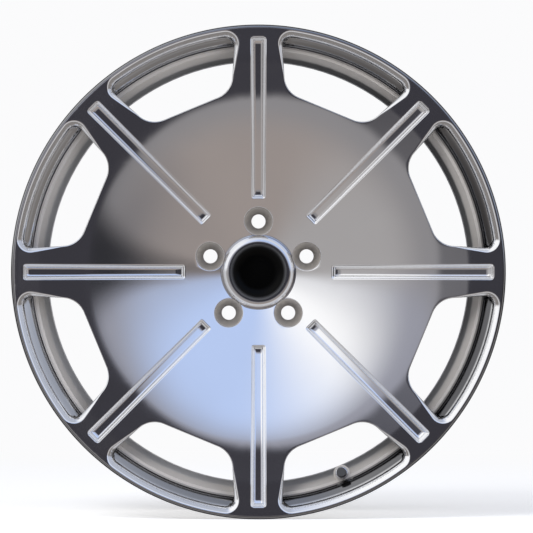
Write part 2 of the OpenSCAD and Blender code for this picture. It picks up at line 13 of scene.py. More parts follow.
import bmesh
import bpy
import numpy as np
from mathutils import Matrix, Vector

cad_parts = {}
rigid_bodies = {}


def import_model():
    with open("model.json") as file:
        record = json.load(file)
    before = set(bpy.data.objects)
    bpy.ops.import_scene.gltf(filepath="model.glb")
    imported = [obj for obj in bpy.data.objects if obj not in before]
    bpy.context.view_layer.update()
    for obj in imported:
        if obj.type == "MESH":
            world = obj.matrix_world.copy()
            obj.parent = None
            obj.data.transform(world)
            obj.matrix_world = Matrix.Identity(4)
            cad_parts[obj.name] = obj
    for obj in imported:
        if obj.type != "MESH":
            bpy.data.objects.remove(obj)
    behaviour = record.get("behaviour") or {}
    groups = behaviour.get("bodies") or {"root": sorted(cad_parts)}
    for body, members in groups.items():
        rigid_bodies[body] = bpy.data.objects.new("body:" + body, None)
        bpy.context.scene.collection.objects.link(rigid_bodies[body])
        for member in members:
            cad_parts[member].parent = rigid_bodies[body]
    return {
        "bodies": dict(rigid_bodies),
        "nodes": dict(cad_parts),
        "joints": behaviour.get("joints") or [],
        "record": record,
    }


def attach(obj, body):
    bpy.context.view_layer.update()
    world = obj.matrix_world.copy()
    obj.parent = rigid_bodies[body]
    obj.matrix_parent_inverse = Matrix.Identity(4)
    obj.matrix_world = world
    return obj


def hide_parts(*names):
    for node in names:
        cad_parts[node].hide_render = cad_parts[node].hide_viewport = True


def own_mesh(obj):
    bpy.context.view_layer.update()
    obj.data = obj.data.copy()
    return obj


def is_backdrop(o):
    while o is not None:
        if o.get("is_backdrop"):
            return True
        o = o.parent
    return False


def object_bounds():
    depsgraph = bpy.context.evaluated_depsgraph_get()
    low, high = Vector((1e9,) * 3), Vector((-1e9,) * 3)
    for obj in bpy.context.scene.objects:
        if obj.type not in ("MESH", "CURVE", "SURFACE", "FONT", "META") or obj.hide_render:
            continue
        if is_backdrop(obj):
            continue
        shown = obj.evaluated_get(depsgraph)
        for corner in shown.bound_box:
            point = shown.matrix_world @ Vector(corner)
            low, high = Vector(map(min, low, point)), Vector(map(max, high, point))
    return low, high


LOG = logging.getLogger("wheel")
MM = 0.001
WELD_M = 3e-6
# grey mixed in by the shade attribute: painted shade on bright metal, a painted reflection on black
PAINTED_LIGHT_GREY = (0.09, 0.09, 0.095, 1.0)
# painted shade in the barrel's well on one side, and a painted highlight on its ledge
WELL_PAINTED_SHADE = (0.10, 0.10, 0.102, 1.0)
LEDGE_PAINTED_LIGHT = (0.62, 0.585, 0.55, 1.0)
SHADED_WELL_SIDE_DEG = 45.0
CROWN_LEAN = 0.15
VALVE_BASE = (0.091882, -0.0984, -0.221824)
VALVE_AXIS = (-0.053259, -0.990268, 0.128579)


class Slot(Enum):
    """Material slots of the record."""

    POLISHED = "polished_alloy"
    TURNED = "turned_alloy"
    SEAT_STEEL = "turned_steel"
    PLATED = "plated_steel"
    CHROME = "bright_chrome"
    BRASS = "nickel_brass"
    GLOSS_BLACK = "gloss_black"
    MOULDING = "black_moulding"
    RUBBER = "seal_rubber"


class Body(Enum):
    """Bodies that pieces ride on."""

    WHEEL = "wheel"
    CAP = "centre_cap"


# ---------------------------------------------------------------- geometry helpers


def to_row(points: np.ndarray) -> np.ndarray:
    """Turns wheel-frame millimetres into row-frame metres.

    Args:
        points: array (..., 3) of x right, y up, z forward.
    Returns:
        Array (..., 3) of row coordinates.
    """
    return np.stack([points[..., 0], -points[..., 2], points[..., 1]], axis=-1) * MM


def polar(r: np.ndarray, angle: np.ndarray, z: np.ndarray) -> np.ndarray:
    """Points from radius, angle in degrees and height, broadcast together.

    Args:
        r: radii.
        angle: angles in degrees, anticlockwise from the right.
        z: heights.
    Returns:
        Array (..., 3).
    """
    r, angle, z = np.broadcast_arrays(r, np.radians(angle), z)
    return np.stack([r * np.cos(angle), r * np.sin(angle), z], axis=-1)


def spin(points: np.ndarray, degrees: float) -> np.ndarray:
    """Turns points about the wheel axis.

    Args:
        points: array (..., 3).
        degrees: angle.
    Returns:
        The turned points.
    """
    a = math.radians(degrees)
    turn = np.array([[math.cos(a), math.sin(a), 0], [-math.sin(a), math.cos(a), 0], [0, 0, 1]])
    return points @ turn


def ease(x: np.ndarray, low: float, high: float) -> np.ndarray:
    """Smooth step from 0 at low to 1 at high.

    Args:
        x: values.
        low: where the step starts.
        high: where it ends.
    Returns:
        The eased values.
    """
    t = np.clip((x - low) / (high - low), 0.0, 1.0)
    return t * t * (3 - 2 * t)


def rounded(profile: list, radius: float, steps: int = 4) -> np.ndarray:
    """Closed profile with each corner replaced by a short quadratic curve.

    Each corner keeps its place as the control point, and the curve starts and ends at the radius
    from it, or at 0.45 of the side where that is shorter.

    Args:
        profile: corner points (r, z) in order.
        radius: distance from the corner at which the curve starts.
        steps: intervals in each curve.
    Returns:
        Array (n, 2) of the closed outline, without repeating the first point.
    """
    p = np.array(profile, float)
    before, after = np.roll(p, 1, axis=0) - p, np.roll(p, -1, axis=0) - p
    lb, la = np.linalg.norm(before, axis=1)[:, None], np.linalg.norm(after, axis=1)[:, None]
    start = p + before / lb * np.minimum(radius, 0.45 * lb)
    end = p + after / la * np.minimum(radius, 0.45 * la)
    t = np.linspace(0, 1, steps + 1)[None, :, None]
    curve = (1 - t) ** 2 * start[:, None] + 2 * t * (1 - t) * p[:, None] + t**2 * end[:, None]
    return curve.reshape(-1, 2)


class Skin:
    """Collects surface patches and welds them into one closed mesh object."""

    def __init__(self) -> None:
        """Starts an empty skin."""
        self.points: list = []
        self.quads: list = []
        self.shades: list = []
        self.faces: list = []
        self.count = 0

    def patch(
        self, grid: np.ndarray, wrap: bool = False, shade: object = 0.0, face: object = 0.0
    ) -> "Skin":
        """Adds a grid of points as quads.

        Args:
            grid: array (rows, columns, 3) in wheel millimetres.
            wrap: joins the last column to the first.
            shade: share of a fixed grey mixed into the colour there, 0 to 1, a number or an array
                that broadcasts: painted shade on bright metal, a painted reflection on black.
            face: 1 where the surface is the crowned front face, likewise.
        Returns:
            The skin.
        """
        rows, cols = grid.shape[:2]
        self.shades.append(np.broadcast_to(shade, (rows, cols)).reshape(-1))
        self.faces.append(np.broadcast_to(face, (rows, cols)).reshape(-1))
        index = np.arange(rows * cols).reshape(rows, cols) + self.count
        if wrap:
            index = np.concatenate([index, index[:, :1]], axis=1)
        corners = [index[:-1, :-1], index[:-1, 1:], index[1:, 1:], index[1:, :-1]]
        self.quads.append(np.stack(corners, axis=-1).reshape(-1, 4))
        self.points.append(to_row(grid).reshape(-1, 3))
        self.count += rows * cols
        return self

    def revolve(self, profile: np.ndarray, steps: int, at: tuple = (0.0, 0.0)) -> "Skin":
        """Adds a closed profile turned about an axis parallel to the wheel's.

        Args:
            profile: array (n, 2) of radius and height.
            steps: points round the axis.
            at: where the axis stands.
        Returns:
            The skin.
        """
        loop = np.concatenate([profile, profile[:1]])
        angle = np.arange(steps) * 360.0 / steps
        grid = polar(loop[:, 0][:, None], angle[None, :], loop[:, 1][:, None])
        grid[..., 0] += at[0]
        grid[..., 1] += at[1]
        return self.patch(grid, wrap=True)

    def finish(self, name: str, sharp: float = 38.0) -> bpy.types.Object:
        """Welds the patches, turns the faces outwards and makes the object.

        Args:
            name: name of the object.
            sharp: angle in degrees above which an edge is shaded sharp.
        Returns:
            The object, linked to the scene.
        """
        mesh = bpy.data.meshes.new(name)
        points, quads = np.concatenate(self.points), np.concatenate(self.quads)
        mesh.vertices.add(len(points))
        mesh.vertices.foreach_set("co", points.ravel())
        mesh.loops.add(quads.size)
        mesh.loops.foreach_set("vertex_index", quads.ravel().astype(np.int32))
        mesh.polygons.add(len(quads))
        mesh.polygons.foreach_set("loop_start", (np.arange(len(quads)) * 4).astype(np.int32))
        for label, values in (("shade", self.shades), ("face", self.faces)):
            layer = mesh.attributes.new(label, "FLOAT", "POINT")
            layer.data.foreach_set("value", np.concatenate(values).astype(np.float32))
        mesh.update(calc_edges=True)
        work = bmesh.new()
        work.from_mesh(mesh)
        bmesh.ops.remove_doubles(work, verts=work.verts, dist=WELD_M)
        bmesh.ops.recalc_face_normals(work, faces=work.faces)
        loose = sum(1 for e in work.edges if len(e.link_faces) != 2)
        work.to_mesh(mesh)
        work.free()
        mesh.polygons.foreach_set("use_smooth", np.ones(len(mesh.polygons), bool))
        mesh.set_sharp_from_angle(angle=math.radians(sharp))
        obj = bpy.data.objects.new(name, mesh)
        bpy.context.scene.collection.objects.link(obj)
        LOG.info("%s: %d faces, %d open edges", name, len(mesh.polygons), loose)
        return obj


# ---------------------------------------------------------------- finishes


def linear(r: float, g: float, b: float, gain: float = 1.0) -> tuple:
    """Screen colour on a 0 to 255 scale as linear light.

    Args:
        r: red.
        g: green.
        b: blue.
        gain: factor on the result.
    Returns:
        Linear RGBA.
    """
    c = [((v / 255 + 0.055) / 1.055) ** 2.4 * gain for v in (r, g, b)]
    return (*c, 1.0)


class Graph:
    """Short ways to add shader nodes to one tree."""

    def __init__(self, tree: bpy.types.NodeTree) -> None:
        """Keeps the tree.

        Args:
            tree: where the nodes go.
        """
        self.tree = tree

    def node(self, kind: str, **values: object) -> bpy.types.Node:
        """Adds a node.

        Args:
            kind: node type without the ShaderNode prefix.
            values: attributes to set on it.
        Returns:
            The node.
        """
        n = self.tree.nodes.new("ShaderNode" + kind)
        for key, value in values.items():
            setattr(n, key, value)
        return n

    def put(self, socket: bpy.types.NodeSocket, value: object) -> None:
        """Links a socket, or sets its constant.

        Args:
            socket: the input.
            value: an output socket or a constant.
        """
        if isinstance(value, bpy.types.NodeSocket):
            self.tree.links.new(value, socket)
        else:
            socket.default_value = value

    def math(self, op: str, *args: object, clamp: bool = False) -> bpy.types.NodeSocket:
        """Adds a maths node.

        Args:
            op: its operation.
            args: its inputs.
            clamp: limits the result to 0 to 1.
        Returns:
            The output.
        """
        n = self.node("Math", operation=op, use_clamp=clamp)
        for socket, value in zip(n.inputs, args):
            self.put(socket, value)
        return n.outputs[0]

    def step(self, x: object, low: float, high: float) -> bpy.types.NodeSocket:
        """Smooth step from 0 at low to 1 at high, which may be below low.

        Args:
            x: the value.
            low: where it is 0.
            high: where it is 1.
        Returns:
            The output.
        """
        n = self.node("MapRange", interpolation_type="SMOOTHSTEP")
        flip = high < low
        self.put(n.inputs["Value"], x)
        self.put(n.inputs["From Min"], min(low, high))
        self.put(n.inputs["From Max"], max(low, high))
        self.put(n.inputs["To Min"], 1.0 if flip else 0.0)
        self.put(n.inputs["To Max"], 0.0 if flip else 1.0)
        return n.outputs["Result"]

    def mix(self, factor: object, a: object, b: object) -> bpy.types.NodeSocket:
        """Mixes two colours.

        Args:
            factor: share of b.
            a: first colour.
            b: second colour.
        Returns:
            The output.
        """
        n = self.node("Mix", data_type="RGBA")
        self.put(n.inputs[0], factor)
        self.put(n.inputs[6], a)
        self.put(n.inputs[7], b)
        return n.outputs[2]

    def noise(self, vector: object, scale: float, detail: float = 3.0) -> bpy.types.NodeSocket:
        """Adds a noise texture.

        Args:
            vector: where it is read.
            scale: features for each unit.
            detail: octaves.
        Returns:
            The value output.
        """
        n = self.node("TexNoise")
        self.put(n.inputs["Vector"], vector)
        self.put(n.inputs["Scale"], scale)
        self.put(n.inputs["Detail"], detail)
        return n.outputs[0]

    def stretch(self, vector: object, x: float, y: float, z: float) -> bpy.types.NodeSocket:
        """Scales a vector for each axis.

        Args:
            vector: the vector.
            x: factor on x.
            y: factor on y.
            z: factor on z.
        Returns:
            The output.
        """
        n = self.node("VectorMath", operation="MULTIPLY")
        self.put(n.inputs[0], vector)
        self.put(n.inputs[1], (x, y, z))
        return n.outputs[0]


def surface_group(name: str, build: object, outputs: tuple) -> bpy.types.NodeTree:
    """Makes a node group whose outputs are values read from Object coordinates.

    Args:
        name: name of the group.
        build: function from a Graph and the coordinate socket to a tuple of output sockets.
        outputs: names of the float outputs.
    Returns:
        The group, made once and then shared.
    """
    if name in bpy.data.node_groups:
        return bpy.data.node_groups[name]
    tree = bpy.data.node_groups.new(name, "ShaderNodeTree")
    for out in outputs:
        tree.interface.new_socket(out, in_out="OUTPUT", socket_type="NodeSocketFloat")
    graph = Graph(tree)
    coords = graph.node("TexCoord").outputs["Object"]
    results = build(graph, coords)
    end = tree.nodes.new("NodeGroupOutput")
    for socket, result in zip(end.inputs, results):
        tree.links.new(result, socket)
    return tree


def wear_build(graph: Graph, coords: object) -> tuple:
    """Hairline marks, soft smears and fine grain, as values near 0 to 1.

    The marks are two noises stretched 60 to 1 along different directions and cut high. The smears
    are a broad noise. The grain is a noise of 0.3 mm.

    Args:
        graph: the group's graph.
        coords: Object coordinates.
    Returns:
        Marks, smears and grain.
    """
    first = graph.noise(graph.stretch(coords, 2200.0, 2200.0, 36.0), 1.0, 1.0)
    second = graph.noise(graph.stretch(coords, 40.0, 1900.0, 1900.0), 1.0, 1.0)
    marks = graph.math(
        "MAXIMUM", graph.step(first, 0.72, 0.80), graph.step(second, 0.74, 0.82)
    )
    smears = graph.step(graph.noise(coords, 14.0, 4.0), 0.35, 0.70)
    grain = graph.noise(coords, 3200.0, 2.0)
    return marks, smears, grain


def turning_and_light_build(graph: Graph, coords: object) -> tuple:
    """Lathe lines about the wheel axis, the crown of the outer ring, and masks for a painted
    highlight on the ledge and painted shade on one side.

    The lines are noise read at the radius and the depth, so each is a full circle. The turn is
    eased from 0 to 1 over the band where the ring's crown lies. The lit ledge is 1 over the band of
    radii behind the windows, where a painted highlight goes. The side is half of one plus the
    cosine of the angle from the direction of SHADED_WELL_SIDE_DEG above the right, and sets where
    painted shade falls in the well.

    Args:
        graph: the group's graph.
        coords: Object coordinates.
    Returns:
        Line value, turn, lit ledge mask for the painted highlight and side mask for the painted
        shade, each 0 to 1.
    """
    parts = graph.node("SeparateXYZ")
    graph.put(parts.inputs[0], coords)
    x, y, z = parts.outputs
    square = graph.math("ADD", graph.math("MULTIPLY", x, x), graph.math("MULTIPLY", z, z))
    radius = graph.math("SQRT", square)
    place = graph.node("CombineXYZ")
    graph.put(place.inputs[0], graph.math("MULTIPLY", radius, 1500.0))
    graph.put(place.inputs[1], graph.math("MULTIPLY", y, 1500.0))
    lines = graph.noise(place.outputs[0], 1.0, 2.0)
    lit_ledge = graph.math(
        "MULTIPLY", graph.step(radius, 0.2195, 0.2225), graph.step(y, -0.080, -0.088)
    )
    toward = math.radians(SHADED_WELL_SIDE_DEG)
    across = graph.math("MULTIPLY", x, math.cos(toward))
    lean = graph.math("MULTIPLY_ADD", z, math.sin(toward), across)
    side = graph.math("MULTIPLY_ADD", graph.math("DIVIDE", lean, radius), 0.5, 0.5)
    return lines, graph.step(radius, 0.228, 0.243), lit_ledge, side


@dataclass(frozen=True)
class Finish:
    """A surface finish built from the shared wear and turning groups, with painted light and shade
    mixed into its colour.
    """

    name: str
    colour: tuple
    shade: tuple
    metallic: float
    roughness: float
    spread: float
    marks: float = 0.1
    lines: float = 0.0
    line_height: float = 0.0
    grain_height: float = 0.0
    crown: bool = False
    # paints the turned barrel: painted shade in the well on one side, a painted highlight on the
    # ledge
    lit_ledge: bool = False
    specular: float = 0.5

    def material(self) -> bpy.types.Material:
        """Builds the material, once.

        Returns:
            The material.
        """
        title = "finish_" + self.name
        if title in bpy.data.materials:
            return bpy.data.materials[title]
        mat = bpy.data.materials.new(title)
        mat.use_nodes = True
        graph = Graph(mat.node_tree)
        shader = mat.node_tree.nodes["Principled BSDF"]
        wear = graph.node("Group")
        wear.node_tree = surface_group("wear", wear_build, ("Marks", "Smears", "Grain"))
        turning = graph.node("Group")
        turning.node_tree = surface_group(
            "turning", turning_and_light_build, ("Lines", "Turn", "Ledge", "Side")
        )
        marks, smears, grain = wear.outputs
        line, turn, lit_ledge, side = turning.outputs
        shade = graph.node("Attribute", attribute_name="shade").outputs["Fac"]
        tone = graph.math("MULTIPLY", smears, 0.6)
        tone = graph.math("ADD", tone, graph.math("MULTIPLY", line, self.lines), clamp=True)
        colour = graph.mix(tone, self.colour, self.shade)
        # painted light: the shade attribute mixes in a fixed grey, painted shade on bright metal
        # and a painted reflection on black
        colour = graph.mix(shade, colour, PAINTED_LIGHT_GREY)
        # the turned barrel gets painted shade in its well, on one side, and a painted highlight
        # with less metal on its ledge
        if self.lit_ledge:
            well_shade = graph.math("MULTIPLY", side, graph.math("SUBTRACT", 1.0, lit_ledge))
            well_shade = graph.math("MULTIPLY", well_shade, self.inward(graph))
            colour = graph.mix(graph.math("MULTIPLY", well_shade, 0.93), colour, WELL_PAINTED_SHADE)
            colour = graph.mix(lit_ledge, colour, LEDGE_PAINTED_LIGHT)
            metallic = graph.math("MULTIPLY_ADD", lit_ledge, -0.4, self.metallic)
            graph.put(shader.inputs["Metallic"], metallic)
        else:
            shader.inputs["Metallic"].default_value = self.metallic
        graph.put(shader.inputs["Base Color"], colour)
        rough = graph.math("MULTIPLY_ADD", smears, self.spread, self.roughness)
        rough = graph.math("MULTIPLY_ADD", marks, self.marks, rough)
        rough = graph.math("MULTIPLY_ADD", line, self.lines * 0.1, rough, clamp=True)
        graph.put(shader.inputs["Roughness"], rough)
        shader.inputs["Specular IOR Level"].default_value = self.specular
        height = graph.math("MULTIPLY", grain, self.grain_height * MM)
        height = graph.math("MULTIPLY_ADD", line, self.line_height * MM, height)
        bump = graph.node("Bump")
        if self.crown:
            graph.put(bump.inputs["Normal"], self.crowned(graph, turn))
        bump.inputs["Strength"].default_value = 1.0
        bump.inputs["Distance"].default_value = 1.0
        graph.put(bump.inputs["Height"], height)
        graph.put(shader.inputs["Normal"], bump.outputs[0])
        return mat

    @staticmethod
    def inward(graph: Graph) -> bpy.types.NodeSocket:
        """Finds the surface that faces the wheel axis in the front half of the wheel.

        Args:
            graph: the material's graph.
        Returns:
            1 where it does, easing to 0 on the outside and in the rear half.
        """
        place = graph.node("TexCoord").outputs["Object"]
        away = graph.node("VectorMath", operation="NORMALIZE")
        graph.put(away.inputs[0], graph.stretch(place, 1, 0, 1))
        dot = graph.node("VectorMath", operation="DOT_PRODUCT")
        graph.put(dot.inputs[0], away.outputs[0])
        graph.put(dot.inputs[1], graph.node("NewGeometry").outputs["Normal"])
        parts = graph.node("SeparateXYZ")
        graph.put(parts.inputs[0], place)
        fore = graph.step(parts.outputs[1], 0.03, -0.04)
        return graph.math("MULTIPLY", graph.step(dot.outputs["Value"], 0.1, -0.2), fore)

    @staticmethod
    def crowned(graph: Graph, turn: bpy.types.NodeSocket) -> bpy.types.NodeSocket:
        """Leans the normal of the front face outwards past the crown of the ring.

        Args:
            graph: the material's graph.
            turn: how far the ring has turned over.
        Returns:
            The leaning normal.
        """
        face = graph.node("Attribute", attribute_name="face").outputs["Fac"]
        amount = graph.math("MULTIPLY", graph.math("MULTIPLY", face, turn), CROWN_LEAN)
        away = graph.node("VectorMath", operation="NORMALIZE")
        graph.put(away.inputs[0], graph.stretch(graph.node("TexCoord").outputs["Object"], 1, 0, 1))
        lean = graph.node("VectorMath", operation="SCALE")
        graph.put(lean.inputs[0], away.outputs[0])
        graph.put(lean.inputs["Scale"], amount)
        total = graph.node("VectorMath", operation="ADD")
        graph.put(total.inputs[0], graph.node("NewGeometry").outputs["Normal"])
        graph.put(total.inputs[1], lean.outputs[0])
        unit = graph.node("VectorMath", operation="NORMALIZE")
        graph.put(unit.inputs[0], total.outputs[0])
        return unit.outputs[0]


FINISHES = {
    Slot.POLISHED: Finish(
        "polished_alloy", (0.93, 0.93, 0.935, 1), (0.90, 0.90, 0.905, 1), 1.0, 0.085, 0.03,
        marks=0.06, lines=0.15, line_height=0.00004, crown=True,
    ),
    Slot.TURNED: Finish(
        "turned_alloy", (0.80, 0.795, 0.785, 1), (0.74, 0.735, 0.73, 1), 0.62, 0.36, 0.04,
        marks=0.1, lines=0.5, line_height=0.0006, lit_ledge=True,
    ),
    Slot.SEAT_STEEL: Finish(
        "seat_steel", (0.66, 0.62, 0.575, 1), (0.54, 0.505, 0.46, 1), 0.72, 0.33, 0.08,
        lines=0.3, grain_height=0.0008,
    ),
    Slot.PLATED: Finish(
        "plated_steel", (0.56, 0.56, 0.58, 1), (0.46, 0.46, 0.47, 1), 1.0, 0.28, 0.10,
        grain_height=0.001,
    ),
    Slot.CHROME: Finish(
        "bright_chrome", (0.86, 0.865, 0.88, 1), (0.80, 0.805, 0.82, 1), 1.0, 0.09, 0.04,
        marks=0.05,
    ),
    Slot.BRASS: Finish(
        "nickel_brass", (0.70, 0.60, 0.40, 1), (0.58, 0.50, 0.33, 1), 1.0, 0.26, 0.08,
        grain_height=0.001,
    ),
    Slot.GLOSS_BLACK: Finish(
        "gloss_black", (0.0010, 0.0010, 0.0010, 1), (0.0016, 0.0016, 0.0016, 1), 0.0, 0.22, 0.04,
        grain_height=0.0002, specular=0.08,
    ),
    Slot.MOULDING: Finish(
        "black_moulding", (0.035, 0.035, 0.037, 1), (0.05, 0.05, 0.052, 1), 0.0, 0.45, 0.12,
        grain_height=0.004,
    ),
    Slot.RUBBER: Finish(
        "seal_rubber", (0.018, 0.018, 0.018, 1), (0.03, 0.03, 0.03, 1), 0.0, 0.68, 0.12,
        grain_height=0.006,
    ),
}


def dress(obj: bpy.types.Object, slot: Slot) -> None:
    """Gives an object one finish on all its material slots.

    Args:
        obj: the object.
        slot: which finish.
    """
    material = FINISHES[slot].material()
    if not obj.data.materials:
        obj.data.materials.append(material)
    for i in range(len(obj.data.materials)):
        obj.data.materials[i] = material


# ---------------------------------------------------------------- the front disc


@dataclass
class WindowPlan:
    """Outline of a rim window, drawn with the window's centre line along +x."""

    pitch: float = 45.0
    inner_x: float = 194.0
    outer_r: float = 260.5
    side_r: float = 255.0
    spoke_half: float = 26.1
    flare: float = 0.06
    inner_corner: float = 26.0
    outer_corner: float = 9.0
    back_r: float = 247.5
    corner_weight: float = 8.0

    def corners(self) -> tuple:
        """Centres of the two round corners on the upper side, and the side's direction angle.

        Returns:
            Inner centre, outer centre and the angle of the side in radians.
        """
        half = math.radians(self.pitch / 2)
        angle = half + math.atan(self.flare)
        along = np.array([math.cos(angle), math.sin(angle)])
        inward = np.array([math.sin(angle), -math.cos(angle)])
        point = np.array([
            self.side_r * math.cos(half) + self.spoke_half * math.sin(half),
            self.side_r * math.sin(half) - self.spoke_half * math.cos(half),
        ])
        base = point + self.inner_corner * inward
        inner = base + along * (self.inner_x + self.inner_corner - base[0]) / along[0]
        base = point + self.outer_corner * inward
        reach = self.outer_r - self.outer_corner
        dot = float(base @ along)
        outer = base + along * (math.sqrt(reach**2 - float(base @ base) + dot**2) - dot)
        return inner, outer, angle

    def half_outline(self) -> tuple:
        """Dense upper half of the outline, from the inner edge round to the outer edge.

        Returns:
            Points (n, 2), outward normals (n, 2) into the metal, and the sample numbers of the
            middles of the inner and the outer corner.
        """
        inner, outer, angle = self.corners()
        n = 400
        t = np.linspace(0, 1, n)[:, None]
        turn = np.linspace(math.pi, angle + math.pi / 2, n)
        arc1 = inner + self.inner_corner * np.stack([np.cos(turn), np.sin(turn)], 1)
        far = math.atan2(outer[1], outer[0])
        turn2 = np.linspace(angle + math.pi / 2, far, n)
        arc2 = outer + self.outer_corner * np.stack([np.cos(turn2), np.sin(turn2)], 1)
        turn3 = np.linspace(far, 0, n)
        rim = self.outer_r * np.stack([np.cos(turn3), np.sin(turn3)], 1)
        edge = np.array([self.inner_x, 0.0]) * (1 - t) + arc1[:1] * t
        side = arc1[-1:] * (1 - t) + arc2[:1] * t
        points = np.concatenate([edge, arc1, side, arc2, rim])
        one = np.ones(n)
        headings = np.concatenate([
            math.pi * one, turn, (angle + math.pi / 2) * one, turn2, turn3
        ])
        normals = np.stack([np.cos(headings), np.sin(headings)], 1)
        return points, normals, n + n // 2, 3 * n + n // 2

    def sample(self, inner_steps: int, side_steps: int, outer_steps: int) -> tuple:
        """Outline points in the order inner edge, upper side, outer edge, lower side.

        Points are spaced evenly by length plus a share of the turning angle.

        Args:
            inner_steps: intervals along the inner edge.
            side_steps: intervals along each side.
            outer_steps: intervals along the outer edge.
        Returns:
            Points and normals, (n, 2) each, closed without a repeated point.
        """
        points, normals, a, b = self.half_outline()
        heading = np.unwrap(np.arctan2(normals[:, 1], normals[:, 0]))
        length = np.hypot(*np.diff(points, axis=0).T) + self.corner_weight * np.abs(
            np.diff(heading)
        )
        along = np.concatenate([[0], np.cumsum(length + 1e-9)])
        inner = np.linspace(-along[a], along[a], inner_steps + 1)
        side = np.linspace(along[a], along[b], side_steps + 1)[1:]
        span = along[-1] - along[b]
        outer = np.linspace(-span, span, outer_steps + 1)[1:]
        where = np.concatenate([np.abs(inner), side, along[-1] - np.abs(outer), side[::-1][1:]])
        sign = np.concatenate([
            np.where(inner < 0, -1.0, 1.0), np.ones(side_steps),
            np.where(outer > 0, -1.0, 1.0), -np.ones(side_steps - 1),
        ])
        result = [
            np.stack([
                np.interp(where, along, values[:, 0]), np.interp(where, along, values[:, 1]) * sign
            ], 1)
            for values in (points, normals)
        ]
        return result[0], result[1] / np.linalg.norm(result[1], axis=1)[:, None]


